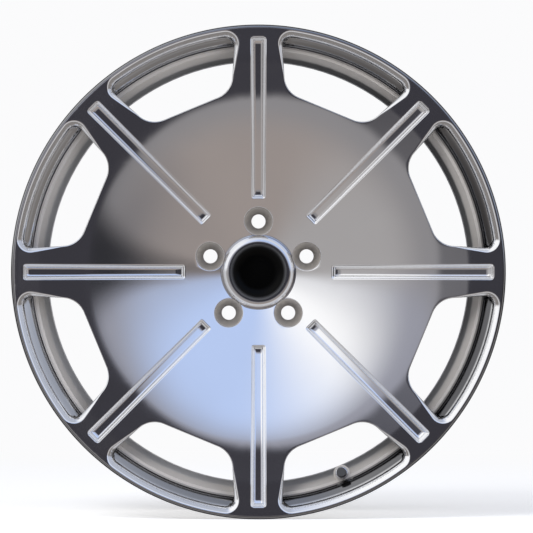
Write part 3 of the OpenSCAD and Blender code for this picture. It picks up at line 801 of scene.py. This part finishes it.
@dataclass
class FaceDisc:
    """The dished front disc with its windows, grooves, lug pockets and rolled rim edge."""

    spokes: int = 8
    lugs: int = 5
    bore_r: float = 33.8
    ring_seat_r: float = 36.55
    ring_seat_z: float = 50.0
    hub_z: float = 72.0
    flat_r: float = 40.5
    knee_r: float = 193.0
    knee_z: float = 118.0
    ring_r: float = 266.5
    ring_z: float = 126.2
    knee_soft: float = 9.0
    easing: float = 0.145
    hub_r: float = 76.0
    dish_r: float = 184.0
    crest_r: float = 268.3
    joint_r: float = 253.4
    strip_half: float = 12.87
    mount_z: float = 35.0
    pad_r: float = 75.0
    cone_r: float = 96.0
    cone_z: float = 60.0
    joint_z: float = 100.0
    # angle in degrees where the painted shade on the window walls is darkest
    painted_shade_side: float = -25.0
    bevel_z: float = 120.0
    lug_r: float = 56.0
    pocket_r: float = 15.8
    pocket_z: float = 53.5
    lug_hole_r: float = 8.2
    relief_r: float = 10.5
    relief_z: float = 47.0
    groove_in: float = 81.0
    groove_out: float = 258.0
    groove_half_in: float = 7.8
    groove_half_out: float = 8.6
    groove_depth_in: float = 4.6
    groove_depth_out: float = 7.0
    groove_run: float = 4.15
    groove_corner: float = 3.0
    arc_steps: int = 34
    rim_steps: int = 46
    hub_side_steps: int = 12
    window: WindowPlan = field(default_factory=WindowPlan)

    def front(self, r: np.ndarray) -> np.ndarray:
        """Height of the front face: a dish whose slope eases with the fourth power of
        the radius towards the knee, a gently rising ring, and a parabola across the bend.

        Args:
            r: radii.
        Returns:
            Heights.
        """
        span = self.knee_r - self.flat_r
        mean = (self.knee_z - self.hub_z) / span
        t = np.clip((r - self.flat_r) / span, -0.1, 1)
        dish = self.hub_z + span * ((mean + self.easing / 4) * t - self.easing / 4 * t**4)
        slope = (self.ring_z - self.knee_z) / (self.ring_r - self.knee_r)
        ring = np.clip(r - self.knee_r, 0, self.ring_r - self.knee_r) * slope
        crest = 0.2 * ease(r, self.ring_r - 1, self.crest_r)
        past = np.clip(r - self.knee_r, -self.knee_soft, self.knee_soft)
        ramp = (past + self.knee_soft) ** 2 / (4 * self.knee_soft) - np.maximum(past, 0)
        bend = mean - 0.75 * self.easing - slope
        return dish + ring + crest - bend * ramp

    def back(self, r: np.ndarray) -> np.ndarray:
        """Height of the back face: mounting pad, cone and joint face, with straight runs between.

        Args:
            r: radii.
        Returns:
            Heights.
        """
        pad, cone = self.mount_z, self.cone_z
        radii = [0.0, self.pad_r, self.pad_r + 4, self.cone_r, self.knee_r, self.knee_r + 6, 300.0]
        return np.interp(r, radii, [pad, pad, pad + 4, cone, 98.0, self.joint_z, self.joint_z])

    def groove(self, r: np.ndarray, u: np.ndarray) -> np.ndarray:
        """Depth of the groove: an edge break, a narrow land, a steep wall and a flat floor, as a
        function of the distance inside a rectangle with round corners.

        Args:
            r: radius along the spoke.
            u: distance from the spoke's centre line.
        Returns:
            Depths.
        """
        share = np.clip((r - self.groove_in) / (self.groove_out - self.groove_in), 0, 1)
        half = self.groove_half_in + (self.groove_half_out - self.groove_half_in) * share
        depth = self.groove_depth_in + (self.groove_depth_out - self.groove_depth_in) * share
        end = np.minimum(r - self.groove_in, self.groove_out - r)
        side = half - np.abs(u)
        corner = self.groove_corner
        dx, dy = np.maximum(corner - end, 0), np.maximum(corner - side, 0)
        inside = np.where(
            (dx > 0) & (dy > 0), corner - np.hypot(dx, dy), np.minimum(end, side)
        )
        shape = np.interp(
            inside,
            [0.0, 0.25, 1.35, 1.75, 2.35, 2.7, 3.95, self.groove_run],
            [0.0, 0.03, 0.27, 0.31, 0.34, 0.42, 0.97, 1.0],
        )
        return depth * shape

    def strip_columns(self, r: np.ndarray) -> np.ndarray:
        """Offsets of the strip's columns, even at the hub ring and then fitted to the groove.

        Args:
            r: row radii (n,).
        Returns:
            Array (n, 27) of offsets from the spoke's centre line.
        """
        share = np.clip((r - self.groove_in) / (self.groove_out - self.groove_in), 0, 1)
        half = self.groove_half_in + (self.groove_half_out - self.groove_half_in) * share
        insets = np.array([4.15, 3.95, 3.3, 2.7, 2.35, 1.75, 1.35, 0.95, 0.25, 0.0, -0.6])
        fitted = half[:, None] - insets[None, :]
        first = (half - 4.15)[:, None] * np.array([[0.0, 0.5]])
        edge = np.full((len(r), 1), self.strip_half)
        fitted = np.concatenate([first, fitted, edge], axis=1)
        even = self.hub_r * np.sin(np.radians(np.arange(fitted.shape[1]) * 0.75))
        mixed = even + (fitted - even) * ease(r, self.hub_r, self.groove_in - 1.0)[:, None]
        mixed[:, -1] = self.strip_half
        return np.concatenate([-mixed[:, :0:-1], mixed], axis=1)

    def row_radii(self) -> tuple:
        """Radii of the rows from the hub ring to the window zone, and from there to the crest.

        Returns:
            Two arrays that share one radius.
        """
        insets = np.array([0.0, 0.25, 0.9, 1.35, 1.75, 2.35, 2.7, 3.95, 4.15])
        inner = np.concatenate([
            [self.hub_r, 77.6, 79.2, 80.4], self.groove_in + insets,
            np.linspace(92, self.dish_r, 16),
        ])
        outer = np.concatenate([
            np.linspace(self.dish_r, 208, 9), np.linspace(214, 250, 7),
            self.groove_out - insets[::-1],
            [260.0, 262.5, 264.8, 266.8, self.crest_r],
        ])
        return inner, outer

    def strip(self, skin: Skin, radii: np.ndarray, spoke: int, back: bool) -> None:
        """Adds the strip along one spoke, with its groove on the front.

        Args:
            skin: where it goes.
            radii: radii of the rows.
            spoke: number of the spoke.
            back: takes the back surface instead.
        """
        u = self.strip_columns(radii)
        r = radii[:, None] + 0 * u
        depth = 0 * r if back else self.groove(r, u)
        z = self.back(r) if back else self.front(r) - depth
        angle = np.degrees(np.arcsin(u / r)) + spoke * 360 / self.spokes
        skin.patch(polar(r, angle, z), face=np.where(depth < 0.3, 0.0 if back else 1.0, 0.0))

    def sector_edge(self, r: np.ndarray) -> np.ndarray:
        """Angle in degrees of the strip's edge at a radius.

        Args:
            r: radii.
        Returns:
            Angles.
        """
        return np.degrees(np.arcsin(self.strip_half / r))

    def between(self, r: np.ndarray, steps: int) -> np.ndarray:
        """Angles from one strip's edge to the next, for each radius.

        Args:
            r: radii (n,).
            steps: intervals.
        Returns:
            Array (n, steps + 1) of degrees.
        """
        edge = self.sector_edge(r)[:, None]
        t = np.linspace(0, 1, steps + 1)[None, :]
        return edge + (360 / self.spokes - 2 * edge) * t

    def dish(self, skin: Skin, radii: np.ndarray, sector: int, back: bool) -> None:
        """Adds the polar patch between two strips.

        Args:
            skin: where it goes.
            radii: radii of the rows.
            sector: number of the sector.
            back: takes the back surface instead.
        """
        angle = self.between(radii, self.arc_steps) + sector * 360 / self.spokes
        r = radii[:, None] + 0 * angle
        skin.patch(polar(r, angle, self.back(r) if back else self.front(r)))

    def frame_loop(self, radii: np.ndarray) -> np.ndarray:
        """Boundary of a window zone: inner arc, far side, outer arc, near side.

        Args:
            radii: radii of the rows along the sides.
        Returns:
            Closed loop (n, 2) without a repeated point.
        """
        near = self.sector_edge(radii)
        pitch = 360 / self.spokes
        inner = self.between(radii[:1], self.arc_steps)[0]
        outer = self.between(radii[-1:], self.rim_steps)[0][::-1]
        r = np.concatenate([
            np.full(len(inner), radii[0]), radii[1:], np.full(len(outer) - 1, radii[-1]),
            radii[::-1][1:-1],
        ])
        angle = np.concatenate([inner, pitch - near[1:], outer[1:], near[::-1][1:-1]])
        return polar(r, angle, 0.0)[:, :2]

    def wall_limit(self, z: np.ndarray) -> np.ndarray:
        """Largest radius of the window wall at a height.

        Args:
            z: heights.
        Returns:
            Radii.
        """
        return np.interp(z, [100.0, 111.0, 120.0, 121.0], [self.window.back_r, 250.0, 260.5, 400.0])

    def window_zone(self, skin: Skin, radii: np.ndarray, sector: int) -> None:
        """Adds the face round one window, its bevel and wall, and the back round it, with painted
        shade on the wall that is darkest towards one side.

        The bevel rises at 45 degrees from its base height, so it is as wide as the face stands
        above the base. Both its edges are broken by short curves.

        Args:
            skin: where it goes.
            radii: radii of the rows along the sides.
            sector: number of the sector.
        """
        side = len(radii) - 1
        plan, normal = self.window.sample(self.arc_steps, side, self.rim_steps)
        half = math.radians(180 / self.spokes)
        turn = np.array([[math.cos(half), math.sin(half)], [-math.sin(half), math.cos(half)]])
        plan, normal = plan @ turn, normal @ turn
        base = np.minimum(self.bevel_z, self.front(np.hypot(*plan.T)) - 0.7)
        width = np.full(len(plan), 1.0)
        for _ in range(12):
            reach = np.hypot(*(plan + normal * width[:, None]).T)
            width = np.clip(self.front(np.minimum(reach, self.crest_r)) - base, 0.5, None)
        width = np.minimum(width, 6.2)
        e = np.minimum(0.95, 0.42 * width)

        def ring(offset: np.ndarray, z: np.ndarray) -> np.ndarray:
            """Gives the outline moved outwards.

            Args:
                offset: how far it moves into the metal.
                z: heights.
            Returns:
                Closed loop (n, 3).
            """
            flat = plan + normal * np.broadcast_to(offset, width.shape)[:, None]
            return np.concatenate([flat, np.broadcast_to(z, width.shape)[:, None]], axis=1)

        outer = self.frame_loop(radii)
        lip = (plan + normal * (width + e)[:, None])
        rows = []
        for t in (0.0, 0.25, 0.5, 0.72, 0.88, 1.0):
            flat = outer * (1 - t) + lip * t
            rows.append(np.concatenate([flat, self.front(np.hypot(*flat.T))[:, None]], axis=1))
        top = base + width
        rows += [
            ring(width + 0.35 * e, top - 0.10 * e), ring(width - 0.35 * e, top - 0.45 * e),
            ring(width - e, top - e), ring(0.7 * e, base + 0.7 * e),
            ring(0.25 * e, base + 0.15 * e), ring(0.0 * e, base - 0.35 * e),
        ]
        foot = self.back(np.minimum(np.hypot(*plan.T), self.window.back_r))
        for t in (0.12, 0.24, 0.36, 0.5, 0.75, 1.0):
            z = base + (foot - base) * t
            limit = self.wall_limit(z)
            r = np.hypot(*plan.T)
            flat = plan * np.minimum(1.0, limit / r)[:, None]
            rows.append(np.concatenate([flat, z[:, None]], axis=1))
        scale = (self.joint_r - self.dish_r) / (self.crest_r - self.dish_r)
        behind = self.frame_loop(self.dish_r + (radii - self.dish_r) * scale)
        inner = rows[-1][:, :2]
        for t in (0.3, 0.7, 1.0):
            flat = inner * (1 - t) + behind * t
            rows.append(np.concatenate([flat, self.back(np.hypot(*flat.T))[:, None]], axis=1))
        shade = np.zeros((len(rows), len(plan)))
        heading = np.arctan2(plan[:, 1], plan[:, 0]) + math.radians(sector * 360 / self.spokes)
        # painted shade on the window walls, darkest at the disc's shade side angle
        shade[12:-3] = 0.60 + 0.38 * np.cos(heading - math.radians(self.painted_shade_side))
        face = np.zeros((len(rows), 1))
        face[:6] = 1.0
        turned = spin(np.stack(rows), sector * 360 / self.spokes)
        skin.patch(turned, wrap=True, shade=shade, face=face)

    def rim_edge(self, skin: Skin) -> None:
        """Adds the rolled rim edge and the tyre side, from the crest to the joint, with painted
        shade on every row past the crest.

        Args:
            skin: where it goes.
        """
        profile = np.array([
            [self.crest_r, 126.4], [268.45, 126.4], [269.3, 126.25], [270.2, 125.7],
            [270.9, 124.9], [271.35, 123.8], [271.5, 122.5], [271.5, 121.0], [271.1, 119.6],
            [270.0, 118.5], [268.1, 117.8],
            [263.5, 116.5], [258.5, 112.5], [255.2, 109.0], [254.0, 105.0], [253.9, 101.2],
            [self.joint_r, 100.0],
        ])
        columns = self.strip_columns(profile[:, 0])
        # painted shade: rows past the crest are darkened towards the fixed grey
        roll = np.clip(np.arange(len(profile)) * 0.75, 0, 0.75)[:, None]
        first = (np.arange(len(profile)) == 0)[:, None] * 1.0
        for spoke in range(self.spokes):
            start = spoke * 360 / self.spokes
            r = profile[:, :1]
            narrow = np.degrees(np.arcsin(columns / r)) + start
            wide = self.between(profile[:, 0], self.rim_steps) + start
            for angle in (narrow, wide):
                skin.patch(polar(r, angle, profile[:, 1:]), shade=roll, face=first)

    def cell_loop(self, inner_r: float, centre: float) -> np.ndarray:
        """Boundary of one hub cell of 36 degrees: inner arc, side, outer arc, side.

        Args:
            inner_r: radius of the inner arc.
            centre: angle of the cell's middle.
        Returns:
            Closed loop (n, 2) without a repeated point.
        """
        units = 48 * 10 // (2 * self.lugs)
        angle = centre + np.linspace(-18, 18, units + 1)
        radii = np.linspace(inner_r, self.hub_r, self.hub_side_steps + 1)
        r = np.concatenate([
            np.full(units + 1, inner_r), radii[1:], np.full(units, self.hub_r), radii[::-1][1:-1]
        ])
        turn = np.concatenate([
            angle, np.full(self.hub_side_steps, angle[-1]), angle[::-1][1:],
            np.full(self.hub_side_steps - 1, angle[0]),
        ])
        return polar(r, turn, 0.0)[:, :2]

    def pierced(self, inner_r: float, centre: float, hole: float, back: bool) -> list:
        """Rows from the boundary of a hub cell in to a round hole.

        Args:
            inner_r: radius of the cell's inner arc.
            centre: angle of the hole.
            hole: its radius.
            back: takes the back surface instead.
        Returns:
            List of loops (n, 3).
        """
        loop = self.cell_loop(inner_r, centre)
        middle = polar(np.array(self.lug_r), np.array(centre), np.array(0.0))[:2]
        away = loop - middle
        far = np.linalg.norm(away, axis=1)[:, None]
        height = self.back if back else self.front
        rows = []
        for t in (0.0, 0.35, 0.7, 1.0):
            reach = far * (1 - t) + (hole + 0.45) * t
            flat = middle + away / far * reach
            rows.append(np.concatenate([flat, height(np.hypot(*flat.T))[:, None]], axis=1))
        for grow, drop in ((0.2, 0.06), (0.06, 0.2), (0.0, 0.45)):
            flat = middle + away / far * (hole + grow)
            z = height(np.hypot(*flat.T)) - (-drop if back else drop)
            rows.append(np.concatenate([flat, z[:, None]], axis=1))
        return rows

    def hub(self, skin: Skin) -> None:
        """Adds the hub zone: lug pockets with their holes, relief pockets, and the bore.

        Args:
            skin: where it goes.
        """
        for k in range(self.lugs):
            at = 90 + k * 360 / self.lugs
            front = self.pierced(self.bore_r, at, self.pocket_r, back=False)
            back = self.pierced(self.ring_seat_r, at, self.lug_hole_r, back=True)
            floor = [front[-1].copy(), back[-1].copy()]
            for row in floor:
                row[:, 2] = self.pocket_z
            skin.patch(np.stack(front + floor + back[::-1]), wrap=True)
            middle = at + 180 / self.lugs
            radii = np.linspace(self.bore_r, self.hub_r, self.hub_side_steps + 1)[:, None]
            angle = middle + np.linspace(-18, 18, 49)[None, :]
            skin.patch(polar(radii, angle, self.front(radii)))
            relief = self.pierced(self.ring_seat_r, middle, self.relief_r, back=True)
            end = relief[-1].copy()
            end[:, 2] = self.relief_z
            tip = np.broadcast_to(end.mean(axis=0), end.shape)
            skin.patch(np.stack(relief + [end, (end + tip) / 2, tip]), wrap=True)
        wall = np.array([
            [self.bore_r, float(self.front(np.array(self.bore_r)))],
            [self.bore_r, self.ring_seat_z],
            [self.ring_seat_r, self.ring_seat_z], [self.ring_seat_r, self.mount_z],
        ])
        turn = np.arange(480) * 0.75
        skin.patch(polar(wall[:, :1], turn[None, :], wall[:, 1:]), wrap=True)

    def mesh(self) -> bpy.types.Object:
        """Builds the disc.

        Returns:
            The object.
        """
        skin = Skin()
        inner, outer = self.row_radii()
        scale = (self.joint_r - self.dish_r) / (self.crest_r - self.dish_r)
        behind = np.concatenate([
            [self.hub_r, 77.5, 79.0, 82.0, 96.0, 125.0, 155.0],
            self.dish_r + (outer - self.dish_r) * scale,
        ])
        for k in range(self.spokes):
            self.strip(skin, np.concatenate([inner, outer[1:]]), k, back=False)
            self.strip(skin, behind, k, back=True)
            self.dish(skin, inner, k, back=False)
            self.dish(skin, behind[:8], k, back=True)
            self.window_zone(skin, outer, k)
        self.rim_edge(skin)
        self.hub(skin)
        obj = skin.finish("face_disc_skin", sharp=50.0)
        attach(obj, Body.WHEEL.value)
        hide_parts("face_disc")
        dress(obj, Slot.POLISHED)
        return obj


@dataclass
class LugSeats:
    """Steel seats in the lug pockets: turned rings with a conical mouth."""

    lugs: int = 5
    circle_r: float = 56.0
    outer_r: float = 15.75
    mouth_r: float = 15.0
    hole_r: float = 7.8
    top: float = 71.5
    length: float = 18.0

    def mesh(self) -> bpy.types.Object:
        """Builds the seats.

        Returns:
            The object.
        """
        depth = (self.mouth_r - self.hole_r) / math.tan(math.radians(30))
        profile = rounded([
            (self.hole_r, self.top - self.length), (self.outer_r, self.top - self.length),
            (self.outer_r, self.top), (self.mouth_r, self.top), (self.hole_r, self.top - depth),
        ], 0.35)
        skin = Skin()
        for k in range(self.lugs):
            a = math.radians(90 + k * 360 / self.lugs)
            skin.revolve(profile, 96, (self.circle_r * math.cos(a), self.circle_r * math.sin(a)))
        obj = skin.finish("lug_seat_rings")
        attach(obj, Body.WHEEL.value)
        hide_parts("lug_seat_inserts")
        dress(obj, Slot.SEAT_STEEL)
        return obj


@dataclass
class CentreCap:
    """The visible parts of the cap: the bright bezel and the black dished face."""

    bezel_in: float = 31.5
    bezel_out: float = 40.2
    base: float = 72.1
    height: float = 79.6
    crown: float = 8.7
    lean: float = 0.6
    lining_out: float = 31.45
    lining_in: float = 29.85
    lining_top: float = 74.0
    floor: float = 58.4
    bowl_r: float = 13.0
    bowl_h: float = 5.0

    def bezel(self) -> bpy.types.Object:
        """Builds the bezel: a round front that falls away outwards, and straight flanks.

        Returns:
            The object.
        """
        middle = self.bezel_in + self.lean
        reach = math.asin((self.bezel_out - 0.1 - middle) / self.crown)
        angle = np.linspace(reach, -math.asin((self.lean - 0.1) / self.crown), 28)
        arc = np.stack([
            middle + self.crown * np.sin(angle), self.height - self.crown * (1 - np.cos(angle))
        ], 1)
        low, high = float(arc[0, 1]) - 0.25, float(arc[-1, 1]) - 0.15
        flank = [(self.bezel_in, high), (self.bezel_in, self.base), (self.bezel_out, self.base)]
        profile = np.concatenate([arc, np.array(flank), [(self.bezel_out, low)]])
        skin = Skin().revolve(profile, 192)
        obj = skin.finish("cap_bezel_ring")
        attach(obj, Body.CAP.value)
        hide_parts("cap_bezel")
        dress(obj, Slot.CHROME)
        return obj

    def face(self) -> bpy.types.Object:
        """Builds the black face: a thin cup with a rounded foot, and a painted reflection that
        turns it lighter grey towards the rim.

        Returns:
            The object.
        """
        profile = rounded([
            (0.0, self.floor), (self.lining_out, self.floor), (self.lining_out, self.lining_top),
            (self.lining_in, self.lining_top),
        ], 0.4)[5:]
        t = np.linspace(0, 1, 24)
        bowl = np.stack([
            self.lining_in - self.bowl_r * t, self.floor + 1.6 + self.bowl_h * (1 - t) ** 2,
        ], 1)
        ends = [(0.0, self.floor), (0.0, self.floor + 1.6)]
        profile = np.concatenate([ends[:1], profile, bowl, ends[1:]])
        skin = Skin()
        angle = np.arange(144) * 2.5
        # painted reflection: the black lightens to a fixed grey towards the rim
        skin.patch(
            polar(profile[:, :1], angle[None, :], profile[:, 1:]), wrap=True,
            shade=0.95 * ease(profile[:, :1], 27.0, 31.0),
        )
        obj = skin.finish("cap_face_cup")
        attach(obj, Body.CAP.value)
        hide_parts("cap_face")
        dress(obj, Slot.GLOSS_BLACK)
        return obj


def beside_valve(r: np.ndarray, turn: np.ndarray, along: np.ndarray) -> np.ndarray:
    """Points about the leaning valve axis.

    Args:
        r: distances from the axis.
        turn: angles about it in radians.
        along: distances along it from its base.
    Returns:
        Array (..., 3) in wheel millimetres.
    """
    axis = np.array(VALVE_AXIS)
    side = np.cross(axis, [0.0, 0.0, 1.0])
    side /= np.linalg.norm(side)
    other = np.cross(axis, side)
    row = (
        np.array(VALVE_BASE)
        + MM * along[..., None] * axis
        + MM * (r * np.cos(turn))[..., None] * side
        + MM * (r * np.sin(turn))[..., None] * other
    )
    return np.stack([row[..., 0], row[..., 2], -row[..., 1]], axis=-1) / MM


@dataclass
class ValveSpring:
    """Coil spring of the valve core, wound along the leaning valve axis."""

    length: float = 5.0
    coil_r: float = 1.35
    wire_r: float = 0.22
    turns: float = 5.0

    def mesh(self) -> bpy.types.Object:
        """Carries a circle along a helix, with its ends closed to a point.

        Returns:
            The object.
        """
        t = np.linspace(0, 1, 161)[:, None]
        around = np.linspace(0, 2 * math.pi, 12, endpoint=False)[None, :]
        turn = 2 * math.pi * self.turns * t
        taper = np.where((t <= 0) | (t >= 1), 0.0, 1.0)
        r = self.coil_r + self.wire_r * taper * np.cos(around)
        lift = self.wire_r + (self.length - 2 * self.wire_r) * t
        along = lift + self.wire_r * taper * np.sin(around)
        obj = Skin().patch(beside_valve(r, turn, along), wrap=True).finish("valve_spring_coil")
        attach(obj, Body.WHEEL.value)
        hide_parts("valve_spring")
        dress(obj, Slot.PLATED)
        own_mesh(obj)
        return obj


@dataclass
class ValveNut:
    """The round nut of the valve, with a rolled front edge."""

    outer_r: float = 7.0
    inner_r: float = 3.9
    low: float = 1.0
    high: float = 7.5

    def mesh(self) -> bpy.types.Object:
        """Turns a rounded profile about the valve axis.

        Returns:
            The object.
        """
        profile = rounded([
            (self.inner_r, self.low), (self.outer_r, self.low), (self.outer_r, self.high),
            (self.inner_r, self.high),
        ], 1.9, 8)
        loop = np.concatenate([profile, profile[:1]])
        turn = np.radians(np.arange(96) * 3.75)[None, :]
        points = beside_valve(loop[:, :1], turn, loop[:, 1:])
        obj = Skin().patch(points, wrap=True).finish("valve_nut_ring")
        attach(obj, Body.WHEEL.value)
        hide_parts("valve_nut")
        dress(obj, Slot.CHROME)
        return obj


@dataclass
class Hardware:
    """The remaining nodes, which keep their own meshes and take their finishes."""

    own: tuple = (
        "face_disc", "lug_seat_inserts", "cap_bezel", "cap_face", "valve_spring", "valve_nut",
    )

    broken_edges: tuple = ("barrel",)

    def dress_nodes(self, frame: dict) -> None:
        """Gives each kept node the finish of its slot.
        """
        slots = {s["node"]: s["material_slot"] for s in frame["record"]["subparts"]}
        for name, obj in frame["nodes"].items():
            if name in self.own:
                continue
            dress(obj, Slot(slots[name]))
            if name in self.broken_edges:
                bevel = obj.modifiers.new("edge_break", "BEVEL")
                bevel.width, bevel.segments = 0.9 * MM, 2
                bevel.limit_method, bevel.angle_limit = "ANGLE", math.radians(38)
                bevel.harden_normals = True
            LOG.info("%s dressed", name)


# ---------------------------------------------------------------- the studio


@dataclass
class Studio:
    """Pale floor, soft lights, the surroundings that the polish mirrors, and the camera."""

    floor_z: float = -0.2715
    mirror: float = 0.93
    camera: tuple = (0.0089, -6.127, 0.0060)
    lens: float = 369.7

    def surroundings(self) -> None:
        """Paints the world as a function of direction.

        Straight ahead of the wheel it is dark, with a dark wedge to the right along the horizon.
        Above it is a pale blue sky that turns white towards the left, and below a warm grey
        ground. Camera rays see white instead.
        """
        world = bpy.data.worlds.new("studio")
        bpy.context.scene.world = world
        world.use_nodes = True
        tree = world.node_tree
        tree.nodes.clear()
        g = Graph(tree)
        parts = g.node("SeparateXYZ")
        g.put(parts.inputs[0], g.node("TexCoord").outputs["Generated"])
        x, y, z = parts.outputs
        gain = 1 / self.mirror

        def reach(cx: float, cz: float, rx: float, rz: float) -> bpy.types.NodeSocket:
            """Distance of a direction from a centre, in an ellipse's radii.

            Args:
                cx: sideways place of the centre.
                cz: its height.
                rx: radius sideways.
                rz: radius upwards.
            Returns:
                The output.
            """
            dx = g.math("DIVIDE", g.math("SUBTRACT", x, cx), rx)
            dz = g.math("DIVIDE", g.math("SUBTRACT", z, cz), rz)
            square = g.math("ADD", g.math("MULTIPLY", dx, dx), g.math("MULTIPLY", dz, dz))
            return g.math("SQRT", square)

        off_axis = reach(0, 0, 1, 1)
        blue = linear(183, 202, 240, gain)
        white = linear(253, 253, 254, gain)
        near_sky = linear(150, 151, 162, gain)
        far = g.mix(g.step(x, 0.10, -0.48), blue, white)
        far = g.mix(g.math("MULTIPLY", g.step(off_axis, 0.70, 0.95), g.step(x, -0.45, 0.1)), far,
                    linear(178, 184, 198, gain))
        sky = g.mix(g.step(reach(0, 0, 1.245, 0.85), 0.36, 0.58), near_sky, far)
        warm = linear(152, 143, 139, gain)
        ground = g.mix(g.step(x, -0.12, -0.5), warm, linear(163, 160, 160, gain))
        ground = g.mix(g.step(off_axis, 0.54, 0.38), ground, linear(138, 136, 138, gain))
        side = g.math("MULTIPLY", g.step(x, 0.2, 0.5), g.step(off_axis, 0.62, 0.5))
        ground = g.mix(g.math("MULTIPLY", side, 0.8), ground, linear(112, 111, 115, gain))
        ground = g.mix(g.step(off_axis, 0.66, 0.95), ground, linear(128, 124, 122, gain))
        colour = g.mix(g.step(z, -0.02, 0.12), ground, sky)
        band = g.math("MULTIPLY", g.step(y, -0.68, -0.58), g.step(y, -0.22, -0.36))
        colour = g.mix(g.math("MULTIPLY", band, 0.62), colour, linear(236, 238, 243, gain))
        colour = g.mix(g.step(y, 0.03, 0.16), colour, linear(66, 65, 68, gain))
        colour = g.mix(g.step(y, 0.84, 0.96), colour, linear(196, 197, 202, gain))
        wedge = g.step(reach(0.36, -0.03, 0.24, 0.12), 1.35, 0.55)
        wedge = g.math("MULTIPLY", wedge, g.step(y, 0.0, -0.2))
        colour = g.mix(wedge, colour, linear(44, 44, 48, gain))
        core = g.step(reach(0.09, 0.0, 1, 1), 0.34, 0.225)
        core = g.math("MULTIPLY", core, g.step(y, 0.0, -0.2))
        colour = g.mix(core, colour, linear(56, 55, 61, gain))
        path = g.node("LightPath")
        colour = g.mix(path.outputs["Is Camera Ray"], colour, linear(251, 251, 252))
        back = g.node("Background")
        g.put(back.inputs["Color"], colour)
        out = g.node("OutputWorld")
        tree.links.new(back.outputs[0], out.inputs["Surface"])

    def floor(self) -> bpy.types.Object:
        """Lays the pale floor.

        Returns:
            The floor.
        """
        mesh = bpy.data.meshes.new("floor")
        mesh.from_pydata(
            [(-6, -3, 0), (6, -3, 0), (6, 5, 0), (-6, 5, 0)], [], [(0, 1, 2, 3)]
        )
        obj = bpy.data.objects.new("floor", mesh)
        bpy.context.scene.collection.objects.link(obj)
        obj.location.z = self.floor_z
        obj.visible_glossy = False
        mat = bpy.data.materials.new("floor")
        mat.use_nodes = True
        g = Graph(mat.node_tree)
        shader = mat.node_tree.nodes["Principled BSDF"]
        cloud = g.noise(g.node("TexCoord").outputs["Object"], 2.0, 2.0)
        place = g.node("VectorMath", operation="LENGTH")
        g.put(place.inputs[0], g.stretch(g.node("TexCoord").outputs["Object"], 1.0, 0.7, 1.0))
        away = g.step(place.outputs["Value"], 0.35, 1.5)
        near = g.mix(cloud, (0.79, 0.79, 0.795, 1), (0.81, 0.81, 0.815, 1))
        g.put(shader.inputs["Base Color"], g.mix(away, near, (0.0, 0.0, 0.0, 1.0)))
        shader.inputs["Roughness"].default_value = 0.8
        shader.inputs["Specular IOR Level"].default_value = 0.0
        glow = g.mix(away, (0.48, 0.48, 0.48, 1.0), linear(251, 251, 252))
        g.put(shader.inputs["Emission Color"], glow)
        shader.inputs["Emission Strength"].default_value = 1.0
        mesh.materials.append(mat)
        obj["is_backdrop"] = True
        return obj

    def lamp(self, name: str, at: tuple, aim: tuple, size: float, watts: float) -> None:
        """Adds a soft area light that mirrors don't show.

        Args:
            name: its name.
            at: where it stands.
            aim: what it looks at.
            size: its side in metres.
            watts: its power.
        """
        data = bpy.data.lights.new(name, "AREA")
        data.size, data.energy = size, watts
        obj = bpy.data.objects.new(name, data)
        bpy.context.scene.collection.objects.link(obj)
        obj.location = at
        way = np.array(aim, float) - np.array(at, float)
        obj.rotation_euler = Vector(way).to_track_quat("-Z", "Y").to_euler()
        obj.visible_glossy = False
        obj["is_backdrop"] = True

    def view(self) -> None:
        """Places the camera straight in front of the wheel with a long lens."""
        data = bpy.data.cameras.new("camera")
        data.lens, data.sensor_width = self.lens, 36.0
        data.clip_start, data.clip_end = 0.1, 100.0
        obj = bpy.data.objects.new("camera", data)
        bpy.context.scene.collection.objects.link(obj)
        obj.location = self.camera
        obj.rotation_euler = (math.pi / 2, 0.0, 0.0)
        bpy.context.scene.camera = obj
        bpy.context.scene.view_settings.view_transform = "Standard"

    def build(self) -> None:
        """Sets the whole studio."""
        self.surroundings()
        self.floor()
        self.lamp("key", (-1.4, -2.4, 2.2), (0, 0, 0), 1.6, 60)
        self.lamp("fill", (1.8, -2.2, 0.6), (0, 0, 0), 1.6, 20)
        self.view()
        LOG.info("studio ready")


def log_bounds(label: str, store: dict) -> None:
    """Notes the size of the model.

    Args:
        label: when it is taken.
        store: where it goes.
    """
    low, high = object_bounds()
    store[label] = {"low": list(low), "high": list(high)}


def main() -> None:
    """Builds the wheel and the studio."""
    logging.basicConfig(level=logging.INFO)
    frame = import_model()
    sizes: dict = {}
    log_bounds("loaded", sizes)
    FaceDisc().mesh()
    LugSeats().mesh()
    cap = CentreCap()
    cap.bezel()
    cap.face()
    ValveSpring().mesh()
    ValveNut().mesh()
    Hardware().dress_nodes(frame)
    Studio().build()
    log_bounds("finished", sizes)


if __name__ == "__main__":
    main()
